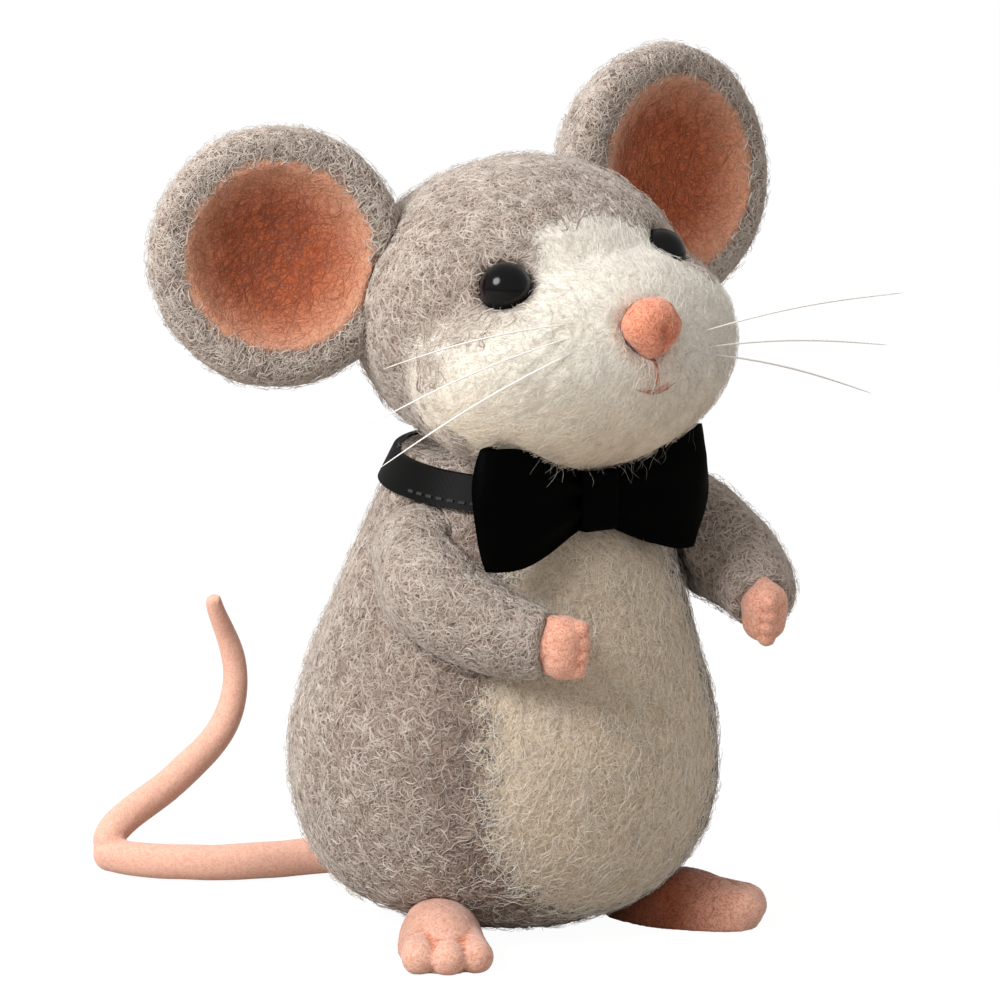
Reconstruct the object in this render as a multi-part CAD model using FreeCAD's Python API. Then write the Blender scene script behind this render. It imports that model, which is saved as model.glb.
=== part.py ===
"""Poseable needle-felted mouse with a bow tie.

Units are millimetres. The origin is the middle of the torso's small flat base, on the ground.
+Z is up, the mouse looks along -Y, and its own left side is +X.
A wire armature runs through firm felt cores; coloured wool coats, felt trim, glass bead eyes,
bristle whiskers and a ribbon bow are laid over them.
"""
import FreeCAD
import Part
import os
from math import asin, cos, hypot, radians, sin, sqrt

V = FreeCAD.Vector
X, Y, Z = V(1, 0, 0), V(0, 1, 0), V(0, 0, 1)
LEFT, RIGHT = 1, -1
SIDES = {"left": LEFT, "right": RIGHT}

# Fits
COAT = 1.2            # thickness of the coloured wool coats
LAYER_GAP = 0.06      # between a felt core and its coat
BODY_GAP = 0.3        # between felt pieces that move against each other
RUNNING = 0.05        # radial clearance of a wire in its loop

# Torso: rings of the outer form as (height, radius, forward drift)
TORSO_RINGS = [
    (0.0, 7.0, 0.0), (0.16, 9.4, 0.0), (0.8, 12.2, 0.0), (2.6, 16.4, 0.0), (5.9, 21.2, 0.0),
    (10.0, 23.8, 0.0),
    (15.0, 25.1, 0.0), (20.6, 25.4, 0.0), (26.0, 24.8, -0.2), (31.6, 23.2, -0.4),
    (38.9, 20.8, -1.3), (47.0, 17.5, -1.9),
]
NECK_CENTRE = V(0, -2.0, 54.0)
NECK_TILT = 5.0                 # the neck leans forward by this many degrees
NECK_HALF = 2.2                 # half the height of the band that the collar sits on
NECK_LOW_R, NECK_HIGH_R = 14.9, 13.0
BELLY_HALF = [                  # the white belly's outline as (sideways, height), from its top down
    (0.0, 52.0), (8.0, 49.5), (12.6, 39.0), (15.4, 31.0), (16.2, 22.5), (15.2, 14.5),
    (11.4, 7.8), (6.0, 4.4), (0.0, 3.4),
]

# Armature
PIVOT = V(0, -4.0, 45.5)        # where the neck wire loops round the shoulder wire
WIRE_R = 0.8
THIN_WIRE_R = 0.45
LOOP_WALL = 0.7
PIN_HALF = 3.0                  # half the height of the upright pin in each shoulder
DOME_R = 15.0                   # felt ball that carries the head, round the pivot
NOD_UP, NOD_DOWN = 8.0, 1.0
TURN_RIGHT, TURN_LEFT = 12.0, 15.0
HEAD_CLEAR = 0.8                # room between the head and the neck as the head nods and turns
SPINE_FOOT = 8.0                # how high the spine wire starts
NECK_WIRE_TOP = 70.0

# Head: cranium and muzzle ellipsoids in the head's own frame
HEAD_CENTRE = V(0, -8.0, 73.2)
HEAD_ROLL = -7.0                # about Y: the left side is carried higher
CRANIUM = (V(0, 4.5, 0.3), (20.5, 18.5, 17.3))
MUZZLE = (V(0, -4.5, -4.4), (20.8, 16.5, 13.9))
FACE_OUTLINE = [                # the white face as (sideways, height), round from the left of the blaze
    (1.5, 12.1), (5.4, 11.2), (8.6, 8.9), (11.2, 5.4), (15.0, 2.6), (19.0, 0.2), (20.6, -3.4),
    (19.6, -8.8), (14.0, -14.0), (0.0, -19.5), (-14.0, -14.0), (-19.6, -8.8), (-20.6, -3.4),
    (-19.0, 0.2), (-15.6, 2.4), (-12.4, 4.2), (-9.4, 6.4), (-6.2, 8.6), (-2.4, 11.0),
]
EYE_R = 3.0
EYES = {"right": V(-11.7, -9.5, 6.2), "left": V(11.1, -8.8, 5.5)}
NOSE_CENTRE, NOSE_HALF = V(0, -20.6, 0.4), (3.75, 3.0, 3.5)
MOUTH_R, MOUTH_TOP, MOUTH_LOW = 0.35, -2.9, -7.2
SMILE_HALF, SMILE_RISE = 2.6, 0.9
WHISKER_ROOT_R, WHISKER_TIP_R = 0.2, 0.08
WHISKER_SET = 3.0               # how far a bristle goes into the muzzle
WHISKERS = {                    # root as (sideways, height) on the muzzle, and the tip's place
    "left": [((8.7, -2.3), V(39.0, -27.0, 74.4)), ((8.9, -3.9), V(36.6, -27.0, 68.2)),
             ((9.3, -4.9), V(34.2, -27.0, 62.6))],
    "right": [((-9.6, 2.2), V(-33.6, -23.0, 71.0)), ((-10.2, 0.7), V(-35.0, -22.5, 64.8)),
              ((-9.8, -0.8), V(-33.8, -22.0, 59.4))],
}

# Ears: centre, outward splay and backward lean of each cup
EAR_R = {"right": 14.5, "left": 15.2}
EAR_LINING_R = {"right": 10.8, "left": 11.7}
EAR_BACK = -7.2                 # the cup's flat back, from the middle of its rim
EAR_DISH = -3.8                 # the cup's deepest place inside
EAR_LIP = 1.2
EAR_LINING = 0.8                # thickness of the pink lining
EARS = {"right": (V(-28.0, 5.5, 80.3), -27.0, 6.0), "left": (V(26.8, 2.6, 86.4), 5.0, 4.0)}

# Arms: shoulder ball, then elbow, wrist and paw places
SHOULDER_R = 5.8
SHOULDER_X = 14.5
ARMS = {
    "right": [(V(-16.9, -13.0, 40.8), 5.7), (V(-13.4, -20.8, 37.9), 4.5), (V(-11.4, -24.2, 37.6), 3.7)],
    "left": [(V(22.6, -14.6, 42.9), 5.9), (V(22.0, -20.4, 40.2), 4.6), (V(20.4, -23.6, 38.8), 3.7)],
}
ARM_WIRE_BEND = {"right": [V(-18.8, -8.9, 43.6), V(-19.3, -14.4, 40.8)], "left": [V(22.6, -14.6, 42.9)]}
PALM_R, FINGER_R = 2.65, 1.2
PALM_LOW, PALM_HIGH = 1.2, 1.0  # how far the palm reaches below and above the wrist
FINGER_STEP = 1.55
ARM_IN = {"right": 3.0, "left": 10.0}
ARM_OUT = {"right": 35.0, "left": 25.0}

# Feet: toe tip and heel on the ground
FEET = {"right": (V(-24.0, -22.6, 0), V(-13.2, -4.6, 0)), "left": (V(18.9, -26.7, 0), V(9.4, -8.8, 0))}
FOOT_HALF_WIDTH, FOOT_HEIGHT = 5.1, 6.4
TOE_R = {"right": 2.1, "left": 2.7}
TOE_STEP = {"right": 3.3, "left": 2.1}
TOE_REACH = {"right": (2.7, 1.9), "left": (3.5, 2.9)}  # outer and middle toes, back from the tip

# Tail: stations along the wool, as (place, radius)
TAIL_ROOT = V(-3.0, 19.4, 3.6)
TAIL_BEND = V(-29.6, 41.3, 2.7)
TAIL_ROOT_R, TAIL_BEND_R = 2.5, 2.2
TAIL_TURN = 25.0                # the curl turns this far each way at the bend
TAIL_BASE = [
    (V(-3.0, 19.4, 3.6), 2.3), (V(-5.4, 23.6, 2.9), 2.35), (V(-9.8, 26.8, 2.5), 2.3),
    (V(-15.5, 28.7, 2.4), 2.25), (V(-20.6, 31.0, 2.4), 2.2), (V(-25.2, 34.8, 2.4), 2.15),
    (V(-28.5, 38.9, 2.5), 2.1), (V(-29.6, 41.3, 2.7), 2.1),
]
TAIL_CURL = [
    (V(-29.6, 41.3, 2.7), 2.1), (V(-28.4, 42.2, 5.6), 2.05), (V(-24.6, 42.0, 8.0), 2.0),
    (V(-19.0, 41.6, 11.4), 1.95), (V(-13.9, 41.6, 15.2), 1.85), (V(-10.9, 42.2, 19.6), 1.7),
    (V(-10.2, 42.9, 24.0), 1.5), (V(-11.6, 43.1, 28.6), 1.3), (V(-13.4, 42.7, 32.9), 1.0),
]

# Collar and bow
STRAP_HALF, STRAP_THICK = 1.9, 0.8
BOW_CENTRE = V(-1.8, -19.9, 53.0)
WING_SECTIONS = [(2.2, 3.2, 1.5), (6.4, 5.2, 2.2), (11.4, 6.9, 2.1), (15.3, 6.9, 1.5), (17.0, 5.6, 0.9)]
KNOT_SIZE = V(5.2, 4.4, 7.4)
STITCH = V(0.8, 0.3, 0.3)


def save(name, shape):
    """Writes one node as its solids."""
    solids = [s for s in shape.Solids if s.Volume > 0.02]
    body = solids[0] if len(solids) == 1 else Part.makeCompound(solids)
    body.exportStep("parts/" + name + ".step")
    print(name, round(body.Volume, 2), len(solids), body.isValid())


def ball(centre, radius):
    return Part.makeSphere(radius, centre)


def ellipsoid(centre, half):
    """A sphere stretched to three half-axes."""
    stretch = FreeCAD.Matrix()
    stretch.scale(half[0], half[1], half[2])
    solid = Part.makeSphere(1.0).transformGeometry(stretch)
    solid.translate(centre)
    return solid


def rod(start, end, radius, end_radius=None):
    """A round wire, or a cone, from one point to another."""
    along = end - start
    if end_radius is None or abs(end_radius - radius) < 1e-9:
        return Part.makeCylinder(radius, along.Length, start, along)
    return Part.makeCone(radius, end_radius, along.Length, start, along)


def lathe(edges, placement):
    """Turns a closed outline, drawn in the XZ plane, about Z and puts it in place."""
    solid = Part.Face(Part.Wire(Part.__sortEdges__(edges))).revolve(V(0, 0, 0), Z, 360)
    solid.Placement = placement
    return solid


def arc(a, b, c):
    return Part.Arc(a, b, c).toShape()


def line(a, b):
    return Part.LineSegment(a, b).toShape()


def capsule(start, radius, end, end_radius):
    """Two balls joined by their common cone."""
    along = end - start
    length = along.Length
    lean = asin((radius - end_radius) / length)
    low, high = (lean - radians(90)) / 2, (lean + radians(90)) / 2
    a, d = V(0, 0, -radius), V(0, 0, length + end_radius)
    b = V(radius * cos(lean), 0, radius * sin(lean))
    c = V(end_radius * cos(lean), 0, length + end_radius * sin(lean))
    edges = [
        arc(a, V(radius * cos(low), 0, radius * sin(low)), b),
        line(b, c),
        arc(c, V(end_radius * cos(high), 0, length + end_radius * sin(high)), d),
        line(d, a),
    ]
    return lathe(edges, FreeCAD.Placement(start, FreeCAD.Rotation(Z, along)))


def loft_rings(rings):
    """A smooth solid through round sections given as (centre, normal, radius)."""
    wires = [Part.Wire(Part.Circle(c, n, r).toShape()) for c, n, r in rings]
    return Part.makeLoft(wires, True, False)


def wool_tube(stations, swell=0.0):
    """A soft round limb through (place, radius) stations."""
    rings = []
    last = len(stations) - 1
    for i, (place, radius) in enumerate(stations):
        before, after = stations[max(i - 1, 0)][0], stations[min(i + 1, last)][0]
        rings.append((place, after - before, radius + swell))
    return loft_rings(rings)


def fuse(shapes):
    whole = shapes[0]
    return whole.multiFuse(shapes[1:]) if len(shapes) > 1 else whole


def cut_each(shape, tools):
    """Takes the tools away one at a time."""
    for tool in tools:
        shape = shape.cut(tool)
    return shape


def neck_normal():
    return V(0, -sin(radians(NECK_TILT)), cos(radians(NECK_TILT)))


def torso_form(inset, open_top=0.0):
    """The torso's outer form, moved inwards by inset, up to the neck's rim."""
    points = [(r, z, y) for z, r, y in TORSO_RINGS]
    rings = []
    for i, (r, z, y) in enumerate(points):
        r0, z0, _ = points[max(i - 1, 0)]
        r1, z1, _ = points[min(i + 1, len(points) - 1)]
        size = hypot(r1 - r0, z1 - z0)
        out_r, out_z = (z1 - z0) / size, -(r1 - r0) / size
        rings.append((V(0, y, z - inset * out_z), Z, r - inset * out_r))
    up = neck_normal()
    for height, radius in ((-NECK_HALF, NECK_LOW_R), (NECK_HALF + open_top, NECK_HIGH_R)):
        rings.append((NECK_CENTRE + up * height, up, radius - inset))
    return loft_rings(rings)


def head_place():
    return FreeCAD.Placement(HEAD_CENTRE, FreeCAD.Rotation(Y, HEAD_ROLL))


def in_head(x, y, z):
    """A point of the head's own frame, in the model's frame."""
    return head_place().multVec(V(x, y, z))


def head_form(inset):
    """Cranium and muzzle together, moved inwards by inset."""
    halves = [ellipsoid(c, [h - inset for h in half]) for c, half in (CRANIUM, MUZZLE)]
    form = fuse(halves)
    form.Placement = head_place()
    return form


def muzzle_y(x, z):
    """Where the muzzle's front lies at a place of the head's own frame."""
    centre, half = MUZZLE
    rest = 1 - (x / half[0]) ** 2 - ((z - centre.z) / half[2]) ** 2
    return centre.y - half[1] * sqrt(rest)


def face_region():
    """The white face as a block: a blaze between the eyes that widens over the cheeks."""
    curve = Part.BSplineCurve()
    curve.interpolate([V(x, -1.5, z) for x, z in FACE_OUTLINE], PeriodicFlag=True)
    block = Part.Face(Part.Wire(curve.toShape())).extrude(V(0, -30, 0))
    block.Placement = head_place()
    return block


def belly_region():
    """The white belly as a block with an egg-shaped outline."""
    outline = [V(x, 0, z) for x, z in BELLY_HALF] + [V(-x, 0, z) for x, z in BELLY_HALF[-2:0:-1]]
    curve = Part.BSplineCurve()
    curve.interpolate(outline, PeriodicFlag=True)
    return Part.Face(Part.Wire(curve.toShape())).extrude(V(0, -40, 0))


def shoulder(side):
    return V(SIDES[side] * SHOULDER_X, PIVOT.y, PIVOT.z)


def shoulder_wire():
    """Cross wire with an upright pin bent at each end."""
    parts = [rod(shoulder("right"), shoulder("left"), WIRE_R)]
    for side in SIDES:
        middle = shoulder(side)
        parts.append(rod(middle - Z * PIN_HALF, middle + Z * PIN_HALF, WIRE_R))
    return fuse(parts).removeSplitter()


def loop(centre, axis, inner, width):
    """A turn of wire round another wire."""
    start = centre - axis * (width / 2)
    ring = Part.makeCylinder(inner + LOOP_WALL, width, start, axis)
    return ring.cut(Part.makeCylinder(inner, width, start, axis))


def spine_wire():
    """Upright wire of the torso, closed round the shoulder wire beside the neck wire."""
    centre = PIVOT + X * 2.6
    stem = rod(V(centre.x, centre.y, SPINE_FOOT), centre - Z * (WIRE_R + LOOP_WALL / 2), WIRE_R)
    return fuse([stem, loop(centre, X, WIRE_R, 2 * WIRE_R)]).cut(rod(centre - X * 3, centre + X * 3, WIRE_R))


def neck_wire():
    """Wire that carries the head, looped round the shoulder wire."""
    stem = rod(PIVOT + Z * (WIRE_R + LOOP_WALL / 2), V(PIVOT.x, PIVOT.y, NECK_WIRE_TOP), WIRE_R)
    bore = rod(PIVOT - X * 3, PIVOT + X * 3, WIRE_R + RUNNING)
    return fuse([stem, loop(PIVOT, X, WIRE_R + RUNNING, 2 * WIRE_R)]).cut(bore)


def leg_wire(side):
    """Wire from the torso's core down into the foot."""
    toe, heel = FEET[side]
    inner = heel + (toe - heel) * 0.2 + Z * 3.0
    return fuse([
        capsule(V(SIDES[side] * 8.0, -5.0, 14.0), WIRE_R, inner, WIRE_R * 0.999),
        capsule(inner, WIRE_R * 0.999, heel + (toe - heel) * 0.75 + Z * 2.4, WIRE_R * 0.9),
    ])


def foot_form(side):
    """Flat-soled foot with three toes."""
    toe, heel = FEET[side]
    along = (toe - heel).normalize()
    across = Z.cross(along)
    length = (toe - heel).Length
    centre = heel + along * (length * 0.46)
    body = ellipsoid(V(0, 0, 0), (length * 0.48, FOOT_HALF_WIDTH, FOOT_HEIGHT))
    body.Placement = FreeCAD.Placement(centre, FreeCAD.Rotation(X, along))
    toes = []
    radius = TOE_R[side]
    outer, middle = TOE_REACH[side]
    for step, reach in ((-1, outer), (0, middle), (1, outer)):
        tip = toe - along * reach + across * (step * TOE_STEP[side]) + Z * (radius * 0.8)
        root = centre + along * 1.0 + across * (step * 2.2) + Z * 2.6
        toes.append(capsule(root, radius, tip, radius * 0.95))
    ground = Part.makeBox(120, 120, 20, V(-60, -60, -20))
    return fuse([body] + toes).cut(ground)


def ear_place(side):
    """The ear's own frame: Z is the way its cup faces."""
    centre, splay, lean = EARS[side]
    facing = V(sin(radians(splay)) * cos(radians(lean)), -cos(radians(splay)) * cos(radians(lean)),
               sin(radians(lean)))
    return FreeCAD.Placement(centre, FreeCAD.Rotation(Z, facing))


def bowl(bottom, edge):
    """Part of a ball's outline, from its lowest point on the axis out to an edge."""
    rise = edge.z - bottom.z
    radius = (edge.x ** 2 + rise ** 2) / (2 * rise)
    half = asin(edge.x / radius) / 2
    return arc(bottom, V(radius * sin(half), 0, bottom.z + radius * (1 - cos(half))), edge)


def ear_cup(side):
    """Grey felt cup with a thick rolled rim."""
    radius = EAR_R[side]
    back, edge, rim = V(0, 0, EAR_BACK), V(radius - 6.0, 0, EAR_BACK), V(radius, 0, EAR_BACK + 5.0)
    lip, dish = V(EAR_LINING_R[side], 0, EAR_LIP), V(0, 0, EAR_DISH)
    edges = [
        line(back, edge),
        arc(edge, V(radius - 1.5, 0, EAR_BACK + 1.9), rim),
        arc(rim, V(radius - 1.1, 0, EAR_LIP + 0.4), lip),
        bowl(dish, lip),
        line(dish, back),
    ]
    return lathe(edges, ear_place(side))


def ear_lining(side):
    """Pink felt dish laid in the cup."""
    dish, thick = V(0, 0, EAR_DISH + LAYER_GAP), V(0, 0, EAR_LINING)
    edge = V(EAR_LINING_R[side] - 0.1, 0, EAR_LIP)
    edges = [
        bowl(dish, edge),
        line(edge, edge + thick),
        bowl(dish + thick, edge + thick),
        line(dish + thick, dish),
    ]
    return lathe(edges, ear_place(side))


def eye_bead(side):
    return ball(head_place().multVec(EYES[side]), EYE_R)


def eye_shank(side):
    """Wire shank of the glass bead, with a loop at its inner end."""
    place = EYES[side]
    start = head_place().multVec(place)
    end = in_head(place.x * 0.55, place.y + 9.0, place.z - 2.0)
    along = (end - start).normalize()
    stem = rod(start + along * (EYE_R - 0.4), end, THIN_WIRE_R)
    across = along.cross(Z).normalize()
    centre = end + along * 1.3
    hole = rod(centre - across * 2, centre + across * 2, 1.0)
    eyelet = Part.makeTorus(1.35, THIN_WIRE_R, centre, across)
    return fuse([stem.cut(hole), eyelet]).cut(eye_bead(side))


def nose():
    form = ellipsoid(NOSE_CENTRE, NOSE_HALF)
    form.Placement = head_place().multiply(form.Placement)
    return form


def mouth_stitch():
    """Pink wool line: a short groove below the nose and a curved smile."""
    groove = [(0, MOUTH_TOP), (0, (MOUTH_TOP + MOUTH_LOW) / 2), (0, MOUTH_LOW)]
    smile = [(SMILE_HALF * s, MOUTH_LOW + SMILE_RISE * s * s) for s in (-1, -0.67, -0.33, 0, 0.33, 0.67, 1)]
    tubes = []
    for path in (groove, smile):
        stations = [(in_head(x, muzzle_y(x, z) - 0.1, z), MOUTH_R) for x, z in path]
        tubes.append(wool_tube(stations))
    return fuse(tubes)


def whisker(side, index):
    """Tapered bristle set into the muzzle."""
    (x, z), tip = WHISKERS[side][index]
    skin = in_head(x, muzzle_y(x, z), z)
    root = skin - (tip - skin).normalize() * WHISKER_SET
    return rod(root, tip, WHISKER_ROOT_R, WHISKER_TIP_R)


def arm_stations(side):
    return [(shoulder(side), SHOULDER_R * 0.95)] + ARMS[side]


def turned(shape, centre, axis, angle):
    copy = shape.copy()
    copy.rotate(centre, axis, angle)
    return copy


def arm_form(side, torso_clear):
    """Felt arm: a ball in the torso's socket and a limb that clears the torso over its swing."""
    pivot = shoulder(side)
    limb = wool_tube(arm_stations(side))
    swing = [-ARM_IN[side], -ARM_IN[side] / 2, 0, ARM_OUT[side] / 3, ARM_OUT[side] * 2 / 3, ARM_OUT[side]]
    limb = cut_each(limb, [turned(torso_clear, pivot, Z, -SIDES[side] * angle) for angle in swing])
    return fuse([limb, ball(pivot, SHOULDER_R)])


def pin_space(side):
    """Room in the arm for the upright pin and for the cross wire as the arm swings."""
    pivot = shoulder(side)
    reach = PIN_HALF + BODY_GAP
    bore = rod(pivot - Z * reach, pivot + Z * reach, WIRE_R + RUNNING)
    half = WIRE_R + BODY_GAP
    round_pin = rod(pivot - Z * half, pivot + Z * half, 3 * WIRE_R)
    spread = ARM_IN[side] + ARM_OUT[side] + 36
    middle = (ARM_OUT[side] - ARM_IN[side]) / 2
    start = 180 - middle - spread / 2 if side == "left" else middle - spread / 2
    slot = Part.makeCylinder(SHOULDER_R + 1, 2 * half, pivot - Z * half, Z, spread)
    slot.rotate(pivot, Z, start)
    return fuse([bore, slot, round_pin])


def arm_wire(side):
    """Thin wire looped round the pin, through elbow and wrist into the paw."""
    pivot = shoulder(side)
    top = pivot + Z * 2.2
    bends = ARM_WIRE_BEND[side] + [place for place, _ in ARMS[side][1:]]
    leave = V(bends[0].x - pivot.x, bends[0].y - pivot.y, 0).normalize()
    start = top + leave * (WIRE_R + RUNNING + LOOP_WALL / 2)
    shapes = [loop(top, Z, WIRE_R + RUNNING, 2 * THIN_WIRE_R)]
    path = [start] + bends
    for i in range(len(path) - 1):
        shapes.append(capsule(path[i], THIN_WIRE_R, path[i + 1], THIN_WIRE_R * 0.99))
    return fuse(shapes).cut(rod(pivot, pivot + Z * 4, WIRE_R + RUNNING))


def paw(side):
    """Small mitten with four short fingers side by side."""
    wrist, tip = ARMS[side][1][0], ARMS[side][2][0]
    along = (tip - wrist).normalize()
    across = along.cross(Z).normalize()
    lift = across.cross(along)
    palm = tip + along * 2.0
    hand = capsule(tip - along * 0.4, PALM_R * 0.96, palm, PALM_R)
    hand = hand.fuse(capsule(palm - lift * PALM_LOW, PALM_R * 0.98, palm + lift * PALM_HIGH, PALM_R))
    for step in (-1.5, -0.5, 0.5, 1.5):
        root = tip + lift * (step * FINGER_STEP)
        end = palm + along * (2.15 - 0.1 * step * step) + lift * (step * FINGER_STEP)
        hand = hand.fuse(capsule(root, FINGER_R, end, FINGER_R * 0.95))
    return hand


def tail_wire(stations, skip_start, skip_end):
    """Wire core along the tail's middle line."""
    places = [place for place, _ in stations]
    first = places[0] + (places[1] - places[0]).normalize() * skip_start
    end = places[-1] + (places[-2] - places[-1]).normalize() * skip_end
    return wool_tube([(p, THIN_WIRE_R) for p in [first] + places[1:-1] + [end]])


def neck_place():
    return FreeCAD.Placement(NECK_CENTRE, FreeCAD.Rotation(X, NECK_TILT))


def strap_ring():
    """Flat ribbon band round the neck."""
    slope = (NECK_HIGH_R - NECK_LOW_R) / (2 * NECK_HALF)
    middle = (NECK_HIGH_R + NECK_LOW_R) / 2 + BODY_GAP + 0.05
    low, high = middle - slope * STRAP_HALF, middle + slope * STRAP_HALF
    corners = [V(low, 0, -STRAP_HALF), V(low + STRAP_THICK, 0, -STRAP_HALF),
               V(high + STRAP_THICK, 0, STRAP_HALF), V(high, 0, STRAP_HALF)]
    edges = [line(corners[i], corners[(i + 1) % 4]) for i in range(4)]
    return lathe(edges, neck_place())


def strap_stitches():
    """Short stitches along the band, beside the bow."""
    slope = (NECK_HIGH_R - NECK_LOW_R) / (2 * NECK_HALF)
    middle = (NECK_HIGH_R + NECK_LOW_R) / 2 + BODY_GAP + 0.05 + STRAP_THICK
    row = -STRAP_HALF + 0.7
    radius = middle + slope * row
    stitches = []
    for side in SIDES.values():
        for step in range(9):
            angle = -90 + side * (42 + 5.4 * step)
            box = Part.makeBox(STITCH.x, STITCH.y, STITCH.z, V(-STITCH.x / 2, -0.1, row))
            box.Placement = FreeCAD.Placement(V(0, 0, 0), FreeCAD.Rotation(Z, angle + 90)).multiply(
                FreeCAD.Placement(V(0, -radius - 0.05, 0), FreeCAD.Rotation()))
            box.Placement = neck_place().multiply(box.Placement)
            stitches.append(box)
    return Part.makeCompound(stitches)


def bow_wing(side):
    """Folded ribbon loop, wide at its outer edge and gathered at the knot."""
    wires = []
    for reach, half_height, half_depth in WING_SECTIONS:
        centre = BOW_CENTRE + X * (SIDES[side] * reach)
        ellipse = Part.Ellipse(centre + Z * half_height, centre + Y * half_depth, centre)
        wires.append(Part.Wire(ellipse.toShape()))
    return Part.makeLoft(wires, True, False)


def bow_knot():
    """Ribbon turned round the gathered middle and round the band."""
    half = KNOT_SIZE * 0.5
    box = Part.makeBox(KNOT_SIZE.x, KNOT_SIZE.y, KNOT_SIZE.z, BOW_CENTRE - half)
    return box.makeFillet(0.9, box.Edges)


def build_torso():
    """Core, coat and belly patch of the torso, with the room that other pieces need."""
    feet = [foot_form(side) for side in SIDES]
    tail_room = [ball(TAIL_ROOT, TAIL_ROOT_R + BODY_GAP)]
    room = [ball(shoulder(side), SHOULDER_R + BODY_GAP) for side in SIDES]
    outer = torso_form(0).cut(torso_form(COAT, 1.0)).cut(room + feet + tail_room)
    belly = belly_region()
    save("belly_patch", outer.common(belly))
    save("torso_coat", outer.cut(belly))
    nod_room = Part.makeCone(2.2, 3.8, 17.0, PIVOT - Z * 0.5, Z)
    loop_room = rod(PIVOT - X * 0.95, PIVOT + X * 0.95, WIRE_R + LOOP_WALL + BODY_GAP)
    wires = [shoulder_wire(), spine_wire()] + [leg_wire(side) for side in SIDES]
    inner = NECK_HIGH_R - COAT - LAYER_GAP
    sleeve = rod(NECK_CENTRE - neck_normal() * 10, NECK_CENTRE + neck_normal() * 14, inner)
    dome = ball(PIVOT, DOME_R).common(sleeve)
    core = fuse([torso_form(COAT + LAYER_GAP), dome])
    save("torso_core", cut_each(core, room + feet + tail_room + [nod_room, loop_room] + wires))


def build_feet():
    """Feet pressed against the torso's underside."""
    torso = torso_form(0)
    for side in SIDES:
        foot = foot_form(side).cut(torso)
        save("foot_" + side, foot.cut(leg_wire(side)))
        save("leg_wire_" + side, leg_wire(side))


def neck_room():
    """What the neck takes up in the head's own view, over the whole nod."""
    neck = torso_form(-HEAD_CLEAR, HEAD_CLEAR)
    return [turned(neck, PIVOT, X, angle) for angle in (NOD_UP, NOD_UP / 2, 0, -NOD_DOWN)]


def build_head():
    """Core, coat and white face, with all that is set into them."""
    room = [ball(PIVOT, DOME_R + BODY_GAP)] + neck_room()
    bristles = [whisker(side, i) for side in SIDES for i in range(3)]
    beads = [eye_bead(side) for side in SIDES]
    shanks = [eye_shank(side) for side in SIDES]
    trim = beads + shanks + bristles + [nose(), mouth_stitch()]
    bore = rod(PIVOT + Z * 6, V(PIVOT.x, PIVOT.y, NECK_WIRE_TOP + 0.4), WIRE_R + RUNNING)
    save("head_core", cut_each(head_form(COAT + LAYER_GAP), room + [bore]).cut(trim))
    outer = cut_each(head_form(0).cut(head_form(COAT)), room).cut(trim)
    region = face_region()
    save("face_mask", outer.common(region))
    save("head_coat", outer.cut(region))
    save("nose", nose().cut(bristles))
    save("mouth_stitch", mouth_stitch().cut(nose()))
    for side in SIDES:
        save("eye_" + side, eye_bead(side))
        save("eye_shank_" + side, eye_shank(side))
        save("ear_" + side, ear_cup(side).cut(head_form(0)))
        save("ear_lining_" + side, ear_lining(side).cut(head_form(0)))
        for i in range(3):
            save("whisker_" + side + "_" + str(i + 1), whisker(side, i))


def build_arms():
    torso_clear = torso_form(-BODY_GAP)
    for side in SIDES:
        wire = arm_wire(side)
        hand = paw(side)
        sleeve = arm_form(side, torso_clear).cut([pin_space(side), wire])
        save("arm_" + side, sleeve)
        save("paw_" + side, hand.cut([arm_form(side, torso_clear), wire]))
        save("arm_wire_" + side, wire)


def build_tail():
    base_wire = tail_wire(TAIL_BASE, 0.5, 0.8)
    curl_wire = tail_wire(TAIL_CURL, TAIL_ROOT_R + 0.5, 1.5)
    base = fuse([wool_tube(TAIL_BASE), ball(TAIL_ROOT, TAIL_ROOT_R), ball(TAIL_BEND, TAIL_BEND_R)])
    ground = Part.makeBox(120, 120, 20, V(-60, -60, -20))
    clear = wool_tube(TAIL_BASE, BODY_GAP)
    room = [turned(clear, TAIL_BEND, Z, angle) for angle in (-TAIL_TURN, 0, TAIL_TURN)]
    curl = cut_each(wool_tube(TAIL_CURL), [ball(TAIL_BEND, TAIL_BEND_R + BODY_GAP)] + room)
    save("tail_base", base.cut([base_wire, ground]))
    save("tail_base_wire", base_wire)
    save("tail_curl", curl.cut(curl_wire))
    save("tail_curl_wire", curl_wire)


def chin_room():
    """What the chin takes up above the bow as the head nods down and turns."""
    middle = V(PIVOT.x, PIVOT.y, 0)
    nodded = turned(head_form(-BODY_GAP), PIVOT, X, NOD_DOWN)
    return [turned(nodded, middle, Z, angle) for angle in (-TURN_RIGHT, 0, TURN_LEFT)]


def build_collar():
    """Band round the neck with the bow on it, tucked under the chin."""
    clear = torso_form(-BODY_GAP)
    strap = strap_ring()
    room = [strap, clear] + chin_room()
    save("bow_knot", cut_each(bow_knot(), room))
    save("strap_stitches", strap_stitches().cut(strap))
    save("collar_strap", strap)
    for side in SIDES:
        save("bow_wing_" + side, cut_each(bow_wing(side), [bow_knot()] + room))


def build_armature():
    save("shoulder_wire", shoulder_wire())
    save("spine_wire", spine_wire())
    save("neck_wire", neck_wire())


os.makedirs("parts", exist_ok=True)
build_torso()
build_feet()
build_armature()
build_head()
build_arms()
build_tail()
build_collar()
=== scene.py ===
import math

import bpy
import numpy as np
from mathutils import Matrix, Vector, noise
from mathutils.bvhtree import BVHTree


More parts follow.
